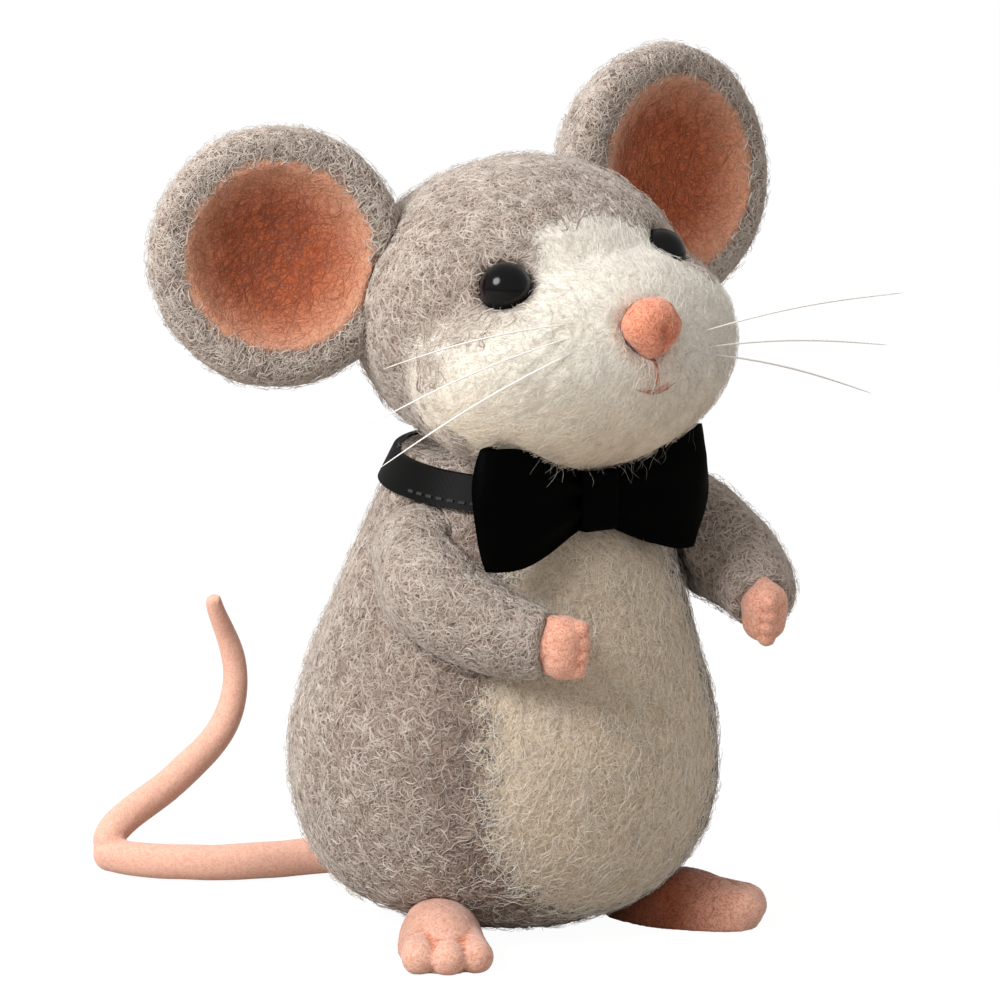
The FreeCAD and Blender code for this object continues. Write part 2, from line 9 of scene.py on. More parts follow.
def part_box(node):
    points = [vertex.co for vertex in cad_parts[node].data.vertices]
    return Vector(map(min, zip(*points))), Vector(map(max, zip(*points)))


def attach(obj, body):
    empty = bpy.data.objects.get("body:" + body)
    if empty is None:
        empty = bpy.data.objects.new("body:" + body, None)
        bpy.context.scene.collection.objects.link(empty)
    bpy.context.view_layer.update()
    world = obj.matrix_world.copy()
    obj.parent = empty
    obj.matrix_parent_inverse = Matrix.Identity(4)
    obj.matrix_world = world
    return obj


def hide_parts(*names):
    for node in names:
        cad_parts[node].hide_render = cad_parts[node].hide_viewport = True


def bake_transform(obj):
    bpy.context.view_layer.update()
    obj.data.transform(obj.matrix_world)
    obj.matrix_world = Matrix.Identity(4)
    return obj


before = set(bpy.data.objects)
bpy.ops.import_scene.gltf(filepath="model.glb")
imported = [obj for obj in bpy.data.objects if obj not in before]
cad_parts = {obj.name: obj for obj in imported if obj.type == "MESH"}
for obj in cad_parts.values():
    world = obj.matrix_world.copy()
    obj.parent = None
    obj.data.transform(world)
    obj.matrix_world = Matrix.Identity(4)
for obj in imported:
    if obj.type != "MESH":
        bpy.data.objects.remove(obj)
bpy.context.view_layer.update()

# Felted mouse with a bow tie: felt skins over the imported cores, wool strands laid over the skins,
# ribbon, bristles, beads, camera and studio. Everything is in metres; MM is one millimetre.
MM = 0.001
SEED = 4127
SIDES = ("left", "right")
SIGN = {"left": 1.0, "right": -1.0}


# ---------------------------------------------------------------- small helpers

def linear(red, green, blue):
    """A colour given in 0-255 display values, as linear RGBA."""
    channels = []
    for value in (red, green, blue):
        c = value / 255
        channels.append(c / 12.92 if c <= 0.04045 else ((c + 0.055) / 1.055) ** 2.4)
    return (*channels, 1.0)


def unit(vectors):
    """Rows scaled to length one."""
    size = np.linalg.norm(vectors, axis=-1, keepdims=True)
    return vectors / np.maximum(size, 1e-12)


def rows_of(items, field, width, kind):
    """One field of every item in a mesh collection, as rows of the given width."""
    values = np.empty(len(items) * width, kind)
    items.foreach_get(field, values)
    return values.reshape(-1, width)


def coordinates(mesh):
    return rows_of(mesh.vertices, "co", 3, np.float32).astype(float)


def vertex_normals(mesh):
    return rows_of(mesh.vertex_normals, "vector", 3, np.float32).astype(float)


def triangles(mesh):
    mesh.calc_loop_triangles()
    return rows_of(mesh.loop_triangles, "vertices", 3, np.int32)


def edge_ends(mesh):
    return rows_of(mesh.edges, "vertices", 2, np.int32)


def middle_of(node):
    low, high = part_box(node)
    return np.array((low + high) / 2)


def mesh_object(name, verts, faces, materials, face_material=None):
    """An object from an array of places and an array of faces that all have the same number of corners."""
    verts, faces = np.asarray(verts, np.float32), np.asarray(faces, np.int32)
    corners = faces.shape[1]
    mesh = bpy.data.meshes.new(name)
    mesh.vertices.add(len(verts))
    mesh.vertices.foreach_set("co", verts.ravel())
    mesh.loops.add(faces.size)
    mesh.loops.foreach_set("vertex_index", faces.ravel())
    mesh.polygons.add(len(faces))
    mesh.polygons.foreach_set("loop_start", np.arange(0, faces.size, corners, dtype=np.int32))
    for material in materials:
        mesh.materials.append(material)
    if face_material is not None:
        mesh.polygons.foreach_set("material_index", np.asarray(face_material, np.int32))
    mesh.update(calc_edges=True)
    mesh.polygons.foreach_set("use_smooth", np.ones(len(faces), bool))
    mesh.validate()
    piece = bpy.data.objects.new(name, mesh)
    bpy.context.scene.collection.objects.link(piece)
    return piece


def applied(piece):
    """Bakes the piece's modifiers into its mesh."""
    depsgraph = bpy.context.evaluated_depsgraph_get()
    mesh = bpy.data.meshes.new_from_object(piece.evaluated_get(depsgraph))
    piece.modifiers.clear()
    piece.data = mesh
    return piece


def cad_mesh(nodes):
    """The places and triangles of some CAD nodes together."""
    verts, faces, base = [], [], 0
    for node in nodes:
        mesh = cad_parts[node].data
        verts.append(coordinates(mesh))
        faces.append(triangles(mesh) + base)
        base += len(mesh.vertices)
    return np.vstack(verts), np.vstack(faces)


def outer_shell(mesh):
    """Keeps the largest connected piece of a mesh and drops the closed hollows inside it."""
    edges = edge_ends(mesh)
    label = np.arange(len(mesh.vertices))
    while True:
        low = np.minimum(label[edges[:, 0]], label[edges[:, 1]])
        new = label.copy()
        np.minimum.at(new, edges[:, 0], low)
        np.minimum.at(new, edges[:, 1], low)
        new = new[new]
        if (new == label).all():
            break
        label = new
    names, counts = np.unique(label, return_counts=True)
    keep = label == names[counts.argmax()]
    faces = np.array([p.vertices[:] for p in mesh.polygons], np.int32)
    index = np.cumsum(keep) - 1
    return coordinates(mesh)[keep], index[faces[keep[faces[:, 0]]]]


def felt_skin(name, nodes, voxel, smooth):
    """A smooth closed felt skin that follows the outer form of some CAD nodes."""
    rough = mesh_object(name + "_rough", *cad_mesh(nodes), [])
    remesh = rough.modifiers.new("remesh", "REMESH")
    remesh.mode = "VOXEL"
    remesh.voxel_size = voxel
    applied(rough)
    verts, faces = outer_shell(rough.data)
    bpy.data.objects.remove(rough)
    piece = mesh_object(name, verts, faces, [])
    soften = piece.modifiers.new("soften", "SMOOTH")
    soften.factor = 0.5
    soften.iterations = smooth
    return applied(piece)


def noise_at(points, scale, seed):
    """Smooth noise from -1 to 1 at each point; scale is the size of its lumps."""
    shift = Vector((seed * 7.31, seed * 3.17, seed * 5.53))
    return np.array([noise.noise(Vector(p) / scale + shift) for p in points])


def move_vertices(piece, co):
    piece.data.vertices.foreach_set("co", co.astype(np.float32).ravel())
    piece.data.update()


def lumps(piece, sizes, seed):
    """Moves a skin in and out along its normals by noise of several (scale, height) sizes in millimetres."""
    co, normal = coordinates(piece.data), vertex_normals(piece.data)
    for i, (scale, height) in enumerate(sizes):
        co += normal * (noise_at(co, scale * MM, seed + i) * (height * MM))[:, None]
    move_vertices(piece, co)


def tree_of(nodes):
    """A search tree over some CAD nodes."""
    verts, faces = cad_mesh(nodes)
    return BVHTree.FromPolygons(verts.tolist(), faces.tolist())


def skin_tree(piece):
    return BVHTree.FromPolygons(coordinates(piece.data).tolist(), triangles(piece.data).tolist())


def distances(tree, points):
    return np.array([tree.find_nearest(Vector(p))[3] for p in points])


TUFTS = (2.2 * MM, 6 * MM)       # sizes of the wisps along the edge between two wools


def share_of(points, inside, outside, feather, ragged, seed, bias=0.0):
    """How much each point belongs to the inside node, 0 to 1, with a feathered, ragged edge."""
    near, far = distances(tree_of([inside]), points), distances(tree_of([outside]), points)
    edge = far - near + bias
    for size, shift in zip(TUFTS, (0, 3)):
        edge = edge + noise_at(points, size, seed + shift) * ragged
    return np.clip(edge / feather * 0.5 + 0.5, 0, 1)


def hollows(piece, depth, rounds):
    """How far each vertex lies in a groove, 0 to 1; depth is how far under its smoothed place counts as 1."""
    edges = edge_ends(piece.data)
    ends = np.concatenate([edges, edges[:, ::-1]])
    co = coordinates(piece.data)
    count = np.bincount(ends[:, 0], minlength=len(co))
    soft = co
    for _ in range(rounds):
        soft = np.stack([np.bincount(ends[:, 0], soft[ends[:, 1], k], len(co)) / count for k in range(3)], axis=1)
    return np.clip(((soft - co) * vertex_normals(piece.data)).sum(axis=1) / depth, 0, 1)


def set_attribute(piece, name, values):
    attribute = piece.data.attributes.new(name, "FLOAT", "POINT")
    attribute.data.foreach_set("value", values.astype(np.float32))


# ---------------------------------------------------------------- materials

def new_material(name):
    material = bpy.data.materials.new(name)
    material.use_nodes = True
    return material, material.node_tree, material.node_tree.nodes["Principled BSDF"]


def plain(name, colour, roughness=0.85, sheen=0.25, shine=0.25, metal=0.0):
    """A constant finish, for strands, bristles and beads that are too fine to hold a pattern."""
    material, _, shader = new_material(name)
    shader.inputs["Base Color"].default_value = colour
    shader.inputs["Roughness"].default_value = roughness
    shader.inputs["Sheen Weight"].default_value = sheen
    shader.inputs["Sheen Roughness"].default_value = 0.5
    shader.inputs["Specular IOR Level"].default_value = shine
    shader.inputs["Metallic"].default_value = metal
    return material


def add(tree, kind, **values):
    """A shader node with some of its settings and input values."""
    node = tree.nodes.new(kind)
    for key, value in values.items():
        if key in node.inputs:
            node.inputs[key].default_value = value
        else:
            setattr(node, key.lower(), value)
    return node


# The dark gaps and pale curls of each felt, in 0-255 display values.
FELTS = {
    "grey": ((96, 78, 69), (146, 130, 119)),
    # Painted shade of the coat beside the belly.
    "grey_painted_shade": ((78, 60, 52), (120, 102, 92)),
    "white": ((200, 191, 176), (232, 226, 214)),
    "cream": ((168, 149, 127), (214, 198, 176)),
    "cream_face": ((214, 197, 174), (238, 223, 201)),
    # Painted shade round the sunk eye beads.
    "eye_recess_shade": ((52, 40, 34), (84, 68, 60)),
    "pink": ((192, 128, 104), (220, 168, 146)),
    "ear": ((180, 124, 96), (204, 150, 122)),
    # Dark middles of the ear linings: partly deeper colour, partly painted shade of the hollow; the left lining is
    # painted lighter than the right.
    "ear_deep_right": ((146, 70, 38), (176, 92, 56)),
    "ear_deep_left": ((164, 80, 46), (192, 104, 66)),
    "nose": ((192, 112, 82), (226, 156, 128)),
    "nose_deep": ((150, 74, 48), (190, 104, 74)),
    "foot": ((202, 146, 124), (226, 180, 160)),
    # Painted shadow of the body on the back of the feet.
    "foot_shadowed": ((128, 66, 42), (158, 92, 66)),
    # Painted shade in the grooves of paws and feet.
    "groove": ((176, 92, 62), (206, 128, 98)),
    "tail": ((214, 162, 141), (226, 178, 158)),
}
CURL_TURNS = 7.0                 # pale bands in one lump of the felt's noise
GAP_TOP, GAP_SPAN = 0.56, 0.18   # where the dark of the gaps ends, and how far contrast lowers that
CURL_TOP = 0.70


def felt(name, base, layers=(), curl=1.5 * MM, bump=0.5, contrast=1.0):
    """Felted wool: pale curls over darker gaps, with fibre relief. curl is the size of the curls.

    Each layer (attribute, colours) takes over from the colours before it where its attribute is 1.
    """
    material, tree, shader = new_material(name)
    link = tree.links.new
    place = add(tree, "ShaderNodeTexCoord")
    lines = []
    for layer in range(2):
        field = add(tree, "ShaderNodeTexNoise", noise_dimensions="4D", W=3.7 * layer + 1.0, Scale=0.9 / curl,
                    Detail=1.5, Distortion=0.8)
        turns = add(tree, "ShaderNodeMath", operation="MULTIPLY")
        turns.inputs[1].default_value = CURL_TURNS
        wave = add(tree, "ShaderNodeMath", operation="PINGPONG")
        wave.inputs[1].default_value = 0.5
        link(place.outputs["Object"], field.inputs["Vector"])
        link(field.outputs["Fac"], turns.inputs[0])
        link(turns.outputs[0], wave.inputs[0])
        lines.append(wave)
    curls = add(tree, "ShaderNodeMath", operation="MAXIMUM")
    hairs = add(tree, "ShaderNodeTexNoise", Scale=6.0 / curl, Detail=2.0, Distortion=2.0)
    height = add(tree, "ShaderNodeMath", operation="MULTIPLY_ADD")
    height.inputs[1].default_value = 0.5
    link(place.outputs["Object"], hairs.inputs["Vector"])
    link(lines[0].outputs[0], curls.inputs[0])
    link(lines[1].outputs[0], curls.inputs[1])
    link(hairs.outputs["Fac"], height.inputs[0])
    link(curls.outputs[0], height.inputs[2])
    colours = []
    for key in [base] + [key for _, key in layers]:
        ramp = add(tree, "ShaderNodeValToRGB")
        gap, top = ramp.color_ramp.elements
        dark, light = FELTS[key]
        gap.position, gap.color = GAP_TOP - GAP_SPAN * contrast, linear(*dark)
        top.position, top.color = CURL_TOP, linear(*light)
        link(height.outputs[0], ramp.inputs["Fac"])
        colours.append(ramp.outputs["Color"])
    colour = colours[0]
    for (attribute, _), over in zip(layers, colours[1:]):
        share = add(tree, "ShaderNodeAttribute", attribute_name=attribute)
        blend = add(tree, "ShaderNodeMix", data_type="RGBA")
        link(share.outputs["Fac"], blend.inputs["Factor"])
        link(colour, blend.inputs[6])
        link(over, blend.inputs[7])
        colour = blend.outputs[2]
    relief = add(tree, "ShaderNodeBump", Strength=bump, Distance=0.2 * MM)
    link(height.outputs[0], relief.inputs["Height"])
    link(relief.outputs["Normal"], shader.inputs["Normal"])
    link(colour, shader.inputs["Base Color"])
    shader.inputs["Roughness"].default_value = 0.95
    shader.inputs["Sheen Weight"].default_value = 0.3
    shader.inputs["Sheen Roughness"].default_value = 0.5
    shader.inputs["Specular IOR Level"].default_value = 0.1
    return material


def strands(name, *colours):
    """A few constant finishes of one wool, since a strand is too fine to hold a pattern."""
    return [plain(f"{name}_strand_{i + 1}", linear(*colour)) for i, colour in enumerate(colours)]


STRANDS = {
    "grey": strands("grey", (192, 181, 171), (177, 163, 152), (159, 143, 132), (134, 117, 107), (110, 92, 82)),
    "white": strands("white", (236, 233, 226), (228, 222, 211), (226, 214, 197), (232, 215, 192)),
    "chin": strands("chin", (176, 172, 166), (146, 142, 137), (116, 112, 108)),
    "cream": strands("cream", (229, 216, 198), (213, 197, 176), (188, 169, 147)),
    "pink": strands("pink", (230, 182, 162), (216, 162, 140), (190, 126, 102)),
    "nose": strands("nose", (236, 172, 144), (222, 148, 118), (186, 104, 74)),
    "foot": strands("foot", (234, 190, 170), (224, 174, 154), (206, 150, 128), (172, 108, 82), (140, 78, 54)),
    "ear": strands("ear", (206, 154, 126), (182, 118, 86), (158, 86, 52), (134, 64, 34)),
    "tail": strands("tail", (234, 190, 171), (222, 172, 152)),
}


# ---------------------------------------------------------------- wool strands

def scatter(piece, count, rng, weight=None):
    """Random places on a skin with their normals; weight is a share per vertex, 0 to 1."""
    co, normal, tri = coordinates(piece.data), vertex_normals(piece.data), triangles(piece.data)
    a, b, c = co[tri[:, 0]], co[tri[:, 1]], co[tri[:, 2]]
    area = np.linalg.norm(np.cross(b - a, c - a), axis=1)
    if weight is not None:
        area = area * weight[tri].mean(axis=1)
    pick = rng.choice(len(tri), count, p=area / area.sum())
    u, v = rng.random(count), rng.random(count)
    flip = u + v > 1
    u[flip], v[flip] = 1 - u[flip], 1 - v[flip]
    w = np.stack([1 - u - v, u, v], axis=1)[:, :, None]
    corner = tri[pick]
    return (co[corner] * w).sum(axis=1), unit((normal[corner] * w).sum(axis=1))


def lay_on(tree, lines, normals):
    """Puts each point of some lines on the skin nearest to it, with the skin's normal there."""
    flat = lines.reshape(-1, 3)
    ground, up = np.empty_like(flat), np.empty_like(flat)
    for i, point in enumerate(flat):
        place, normal, _, _ = tree.find_nearest(Vector(point))
        ground[i], up[i] = place, normal
    up = unit(up.reshape(lines.shape) + normals[:, None, :])
    return ground.reshape(lines.shape), up


WAVES = 1.3           # waves along one strand


def curl_lines(roots, normals, heading, length, bend, wave, rng, steps):
    """Flat curls through each root: heading is the way they start, bend their turn over the length."""
    count = len(roots)
    across = unit(np.cross(normals, heading))
    along = np.cross(across, normals)
    s = np.linspace(-0.5, 0.5, steps)[None, :]
    phase = rng.random((count, 1)) * 2 * math.pi
    angle = bend[:, None] * s + wave * np.sin(2 * math.pi * s * WAVES + phase)
    step = length[:, None] / (steps - 1)
    x = np.cumsum(np.cos(angle) * step, axis=1)
    y = np.cumsum(np.sin(angle) * step, axis=1)
    x -= x.mean(axis=1, keepdims=True)
    y -= y.mean(axis=1, keepdims=True)
    return roots[:, None, :] + x[:, :, None] * along[:, None, :] + y[:, :, None] * across[:, None, :]


def strand_tubes(lines, ups, radius):
    """Three-sided tapered tubes along the lines, closed at both ends: places and triangles."""
    count, steps, _ = lines.shape
    way = unit(np.gradient(lines, axis=1))
    side = unit(np.cross(way, ups))
    over = np.cross(side, way)
    thick = radius[:, None] * np.sqrt(np.sin(math.pi * np.linspace(0.04, 0.96, steps)))[None, :]
    rings = []
    for corner in range(3):
        angle = 2 * math.pi * corner / 3 + math.pi / 2
        rings.append(lines + thick[:, :, None] * (math.cos(angle) * side + math.sin(angle) * over))
    inner = np.stack(rings, axis=2)[:, 1:-1].reshape(count, -1, 3)
    verts = np.concatenate([inner, lines[:, :1], lines[:, -1:]], axis=1)
    faces = []
    tip_a, tip_b = (steps - 2) * 3, (steps - 2) * 3 + 1
    for k in range(steps - 3):
        for corner in range(3):
            nxt = (corner + 1) % 3
            p, q, r, t = k * 3 + corner, k * 3 + nxt, (k + 1) * 3 + nxt, (k + 1) * 3 + corner
            faces += [(p, t, r), (p, r, q)]
    last = (steps - 3) * 3
    for corner in range(3):
        nxt = (corner + 1) % 3
        faces += [(tip_a, corner, nxt), (tip_b, last + nxt, last + corner)]
    faces = np.array(faces, np.int64)
    per = verts.shape[1]
    every = faces[None] + (np.arange(count) * per)[:, None, None]
    return verts.reshape(-1, 3), every.reshape(-1, 3), len(faces)


MOST_STRANDS = 6400   # in one piece, so that its mesh stays under 200 000 triangles
SUNK = 0.06 * MM      # how far a strand's ends are pushed into the skin


def within(rng, bounds, count):
    """Random sizes in metres, from (least, most) in millimetres."""
    return rng.uniform(bounds[0] * MM, bounds[1] * MM, count)


def wool(name, piece, wool_name, body, count, length, radius, bend, wave=0.5, lift=0.18, weight=None,
         flow=None, spread=math.pi, shares=None, raised=0.0, seed=1, steps=7, tint=None):
    """Covers a skin with wool strands, in as many pieces as the size limit needs.

    length and radius are (least, most) in millimetres, and bend in radians. flow gives the way the strands run at
    each root, and spread how far they stray from it. lift is how far a strand's middle stands off the skin, and
    raised how far its free end does, in millimetres. shares or tint pick each strand's shade.
    """
    rng = np.random.default_rng(SEED + seed)
    roots, normals = scatter(piece, count, rng, weight)
    heading = rng.normal(size=roots.shape)
    if flow is not None:
        turn = rng.normal(scale=spread, size=(count, 1))
        base = unit(flow(roots) - normals * (flow(roots) * normals).sum(axis=1, keepdims=True))
        heading = base * np.cos(turn) + np.cross(normals, base) * np.sin(turn)
    heading = unit(heading - normals * (heading * normals).sum(axis=1, keepdims=True))
    size = within(rng, length, count)
    turn = rng.uniform(*bend, count) * rng.choice([-1, 1], count)
    lines = curl_lines(roots, normals, heading, size, turn, wave, rng, steps)
    ground, ups = lay_on(skin_tree(piece), lines, normals)
    s = np.linspace(0, 1, steps)[None, :]
    bow = np.sin(math.pi * s) * rng.uniform(0.3, 1.0, (count, 1)) * lift * MM - SUNK
    free = raised * MM * rng.uniform(0.3, 1.0, (count, 1)) * s ** 1.5
    lines = ground + ups * (bow + free)[:, :, None]
    thick = within(rng, radius, count)
    materials = STRANDS[wool_name]
    shares = np.array(shares or [1 / len(materials)] * len(materials))
    colour = rng.choice(len(materials), count, p=shares / shares.sum())
    if tint is not None:
        colour = tint(roots, rng)
    pieces = []
    for part in range(0, count, MOST_STRANDS):
        pick = slice(part, part + MOST_STRANDS)
        verts, faces, each = strand_tubes(lines[pick], ups[pick], thick[pick])
        label = name if count <= MOST_STRANDS else f"{name}_{part // MOST_STRANDS + 1}"
        strand = mesh_object(label, verts, faces, materials, np.repeat(colour[pick], each))
        if body:
            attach(strand, body)
        pieces.append(strand)
    return pieces


# ---------------------------------------------------------------- skins

def finish_skin(piece, material, body, nodes):
    """Gives a skin its finish and its body, and hides the CAD nodes that it stands for."""
    piece.data.materials.clear()
    piece.data.materials.append(material)
    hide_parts(*nodes)
    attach(piece, body)


def marled(tone, shadow=None):
    """Picks each grey strand's shade round a tone; shadow gives how much darker a place is, 0 to 1."""
    def tint(points, rng):
        dark = rng.normal(loc=tone, scale=0.8, size=len(points))
        if shadow is not None:
            dark += 1.9 * shadow(points)
        return np.clip(np.round(dark), 0, 4).astype(int)
    return tint


def grey_wool(name, piece, body, count, weight=None, seed=1, tone=1.15, shadow=None):
    """Curly marled coat with a thin halo of loose fibres."""
    wool(name + "_curls", piece, "grey", body, count, length=(2.2, 4.6), radius=(0.11, 0.19),
         bend=(2.5, 7.0), wave=0.7, lift=0.12, weight=weight, seed=seed, tint=marled(tone, shadow))
    wool(name + "_fuzz", piece, "grey", body, count // 3, length=(1.6, 4.0), radius=(0.016, 0.032),
         bend=(0.5, 3.0), lift=0.5, weight=weight, shares=(0.6, 0.3, 0.1, 0.0, 0.0), raised=0.8, seed=seed + 50,
         steps=6)


MOSTLY_WHITE = 0.55   # share of the other colour from which no grey strand grows


def grey_part(white, power=1.5):
    """Where grey strands grow: none well inside the other colour."""
    return np.where(white > MOSTLY_WHITE, 0, (1 - white) ** power)


def above_ground(piece):
    """A share that keeps strands off the underside, where the figure stands."""
    return np.clip((coordinates(piece.data)[:, 2] - 0.4 * MM) / (0.6 * MM), 0, 1)


def away_from(piece, node, clear, feather=0.8 * MM):
    """A share that keeps strands off the round seat of a node; clear is the seat's radius."""
    out = np.linalg.norm(coordinates(piece.data) - middle_of(node), axis=1)
    return np.clip((out - clear) / feather, 0, 1)


UNDER_BAND = 47 * MM           # height up to which white wisps cross the edge of the belly
EDGE_SHADE = 9 * MM            # how far the coat is darker beside the belly


def make_torso():
    nodes = ["torso_coat", "belly_patch", "torso_core"]
    wires = ["spine_wire", "shoulder_wire", "leg_wire_left", "leg_wire_right"]
    skin = felt_skin("torso_skin", nodes + wires, 0.7 * MM, 6)
    lumps(skin, [(9, 0.35), (3, 0.1)], 1)
    white = share_of(coordinates(skin.data), "belly_patch", "torso_coat", 2.4 * MM, 1.6 * MM, 11)
    set_attribute(skin, "white_share", white)
    belly = tree_of(["belly_patch"])

    def beside_belly(points):
        return np.clip(1 - distances(belly, points) / EDGE_SHADE, 0, 1)

    # Painted shade: the coat's felt darkens towards the belly's edge, as its strands do through shadow.
    set_attribute(skin, "painted_shade_share", beside_belly(coordinates(skin.data)) * 0.8)
    material = felt("torso_felt", "grey", [("painted_shade_share", "grey_painted_shade"), ("white_share", "cream")])
    finish_skin(skin, material, "torso", nodes + wires)
    ground = above_ground(skin)

    grey_wool("torso", skin, "torso", 19000, weight=grey_part(white) * ground, seed=2, shadow=beside_belly)

    def downward(points):
        return np.tile([0.0, 0.0, -1.0], (len(points), 1))

    wool("belly_fibres", skin, "cream", "torso", 7600, length=(3, 7), radius=(0.045, 0.09),
         bend=(0.3, 2.6), lift=0.10, weight=white ** 1.5 * ground, flow=downward, spread=0.9,
         shares=(0.3, 0.45, 0.25), seed=3)
    wool("belly_fuzz", skin, "cream", "torso", 2500, length=(2, 5), radius=(0.015, 0.03),
         bend=(0.3, 2.5), lift=0.6, weight=white * ground, shares=(0.8, 0.2, 0.0), raised=0.8, seed=4, steps=6)
    edge = np.exp(-((white - 0.6) / 0.35) ** 2) * (coordinates(skin.data)[:, 2] < UNDER_BAND)
    wool("belly_edge", skin, "white", "torso", 2600, length=(2, 5), radius=(0.02, 0.045),
         bend=(0.3, 2.8), lift=0.5, weight=edge * ground, shares=(0.5, 0.4, 0.1, 0.0), raised=0.4, seed=5, steps=6)


BLAZE_SHOULDER = (-5.7, -18.0, 82.9)     # mm; where the white reaches out furthest beside the brow
BLAZE_REACH = 3.2 * MM                   # how far it goes past the CAD mask there


def make_head():
    nodes = ["head_coat", "face_mask", "head_core"]
    skin = felt_skin("head_skin", nodes + ["neck_wire"], 0.6 * MM, 10)
    lumps(skin, [(8, 0.3), (3, 0.08)], 5)
    co = coordinates(skin.data)
    blaze = np.linalg.norm(co - np.array(BLAZE_SHOULDER) * MM, axis=1)
    white = share_of(co, "face_mask", "head_coat", 2.2 * MM, 1.0 * MM, 21,
                     bias=BLAZE_REACH * np.exp(-(blaze / BLAZE_REACH) ** 2))
    set_attribute(skin, "white_share", white)
    blush = 1 - np.minimum(away_from(skin, "nose", 3.6 * MM, 2.2 * MM),
                           away_from(skin, "mouth_stitch", 1.2 * MM, 2.6 * MM))
    set_attribute(skin, "blush_share", blush * 0.45)
    # Painted shade in the recess round each eye: the felt turns much darker in a ring about the bead.
    eye_recess_shade = 1 - away_from(skin, "eye_right", 3.2 * MM, 1.0 * MM) * away_from(skin, "eye_left", 3.2 * MM, 1.0 * MM)
    set_attribute(skin, "eye_shading_share", eye_recess_shade * 0.9)
    set_attribute(skin, "cream_share", white * np.clip((70 * MM - co[:, 2]) / (12 * MM), 0, 1))
    material = felt("head_felt", "grey", [
        ("white_share", "white"),
        ("cream_share", "cream_face"),
        ("blush_share", "pink"),
        ("eye_shading_share", "eye_recess_shade"),
    ])
    finish_skin(skin, material, "head", nodes)
    open_eye = away_from(skin, "eye_right", 3.3 * MM) * away_from(skin, "eye_left", 2.7 * MM)
    grey_wool("head", skin, "head", 12500, weight=grey_part(white) * open_eye, seed=6, tone=0.85)
    nose = middle_of("nose")

    def from_nose(points):
        return points - nose

    face = white ** 2 * open_eye * away_from(skin, "nose", 2.8 * MM)

    def creamier_below(points, rng):
        low_down = np.clip((nose[2] - 4 * MM - points[:, 2]) / (12 * MM), 0, 1)
        shade = rng.normal(loc=0.55, scale=0.6, size=len(points)) + 2.2 * low_down
        return np.clip(np.round(shade), 0, 3).astype(int)

    wool("face_fibres", skin, "white", "head", 10500, length=(3, 7), radius=(0.03, 0.06),
         bend=(0.1, 1.4), wave=0.25, lift=0.08, weight=face, flow=from_nose, spread=0.45, seed=7, tint=creamier_below)
    wool("face_fuzz", skin, "white", "head", 4000, length=(2, 5), radius=(0.013, 0.026),
         bend=(0.2, 2.0), lift=0.35, weight=face, flow=from_nose, spread=0.7, raised=0.6, seed=8, steps=6,
         tint=creamier_below)
    make_mouth(skin, nose)
    make_chin_fibres(skin)


def free_strands(name, wool_name, body, lines, radius, ups, rng):
    """One piece of loose strands that follow the given lines."""
    materials = STRANDS[wool_name]
    verts, faces, each = strand_tubes(lines, ups, radius)
    piece = mesh_object(name, verts, faces, materials, np.repeat(rng.integers(0, len(materials), len(lines)), each))
    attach(piece, body)
    return piece


MOUTH_STRANDS, CHIN_STRANDS = 46, 26
SMILE_RISE = 0.7 * MM          # of the mouth's corners over its middle


def make_mouth(skin, nose):
    """A few pink fibres pushed into the face: a line down from the nose and a short smile."""
    rng = np.random.default_rng(SEED + 70)
    low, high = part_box("mouth_stitch")
    foot = np.array([(low.x + high.x) / 2, low.y, low.z + 0.4 * MM])
    down = unit(foot - nose)
    across = unit(np.cross(down, [0.0, 1.0, 0.0]))
    half = float(high.x - low.x) / 2
    s = np.linspace(0, 1, 9)[:, None]
    lines = []
    for i in range(MOUTH_STRANDS):
        jitter = rng.normal(scale=0.16 * MM, size=3)
        if i % 2:
            start, reach = rng.uniform(0.35, 0.6), rng.uniform(0.2, 0.42)
            line = nose + (foot - nose) * (start + reach * s)
        else:
            start, reach = rng.uniform(-1, 0.2), rng.uniform(0.5, 0.9)
            side = start + reach * s
            line = foot + across * side * half - down * (side ** 2) * SMILE_RISE
        lines.append(line + jitter)
    lines = np.array(lines)
    ground, ups = lay_on(skin_tree(skin), lines, np.tile([0.0, -1.0, 0.0], (len(lines), 1)))
    lines = ground + ups * 0.05 * MM
    piece = free_strands("mouth_fibres", "nose", "head", lines,
                         rng.uniform(0.05 * MM, 0.09 * MM, len(lines)), ups, rng)
    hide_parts("mouth_stitch")


def make_chin_fibres(skin):
    """Loose white curls that hang from the chin over the top of the bow."""
    rng = np.random.default_rng(SEED + 71)
    tree = skin_tree(skin)
    low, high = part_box("bow_knot")
    lines = []
    for _ in range(CHIN_STRANDS):
        x = (low.x + high.x) / 2 + rng.normal(scale=7.5 * MM)
        root, _, _, _ = tree.find_nearest(Vector((x, low.y - 1.5 * MM, high.z + 1.0 * MM)))
        s = np.linspace(0, 1, 9)
        reach = rng.uniform(1.5, 4.2) * MM
        turn = rng.normal(scale=1.4)
        bend = np.cumsum(np.cos(2 * math.pi * s * rng.uniform(0.6, 1.5) + rng.uniform(0, 6))) / 9
        line = np.tile(np.array(root), (9, 1))
        line[:, 0] += (s * math.sin(turn * 0.5) + bend * 0.5) * reach
        line[:, 1] += -0.25 * MM - 0.4 * MM * np.sin(math.pi * s)
        line[:, 2] -= s * reach * 0.9
        lines.append(line)
    lines = np.array(lines)
    free_strands("chin_fibres", "chin", "head", lines, rng.uniform(0.01 * MM, 0.02 * MM, len(lines)),
                 np.tile([0.0, -1.0, 0.0], lines.shape[:2] + (1,)), rng)


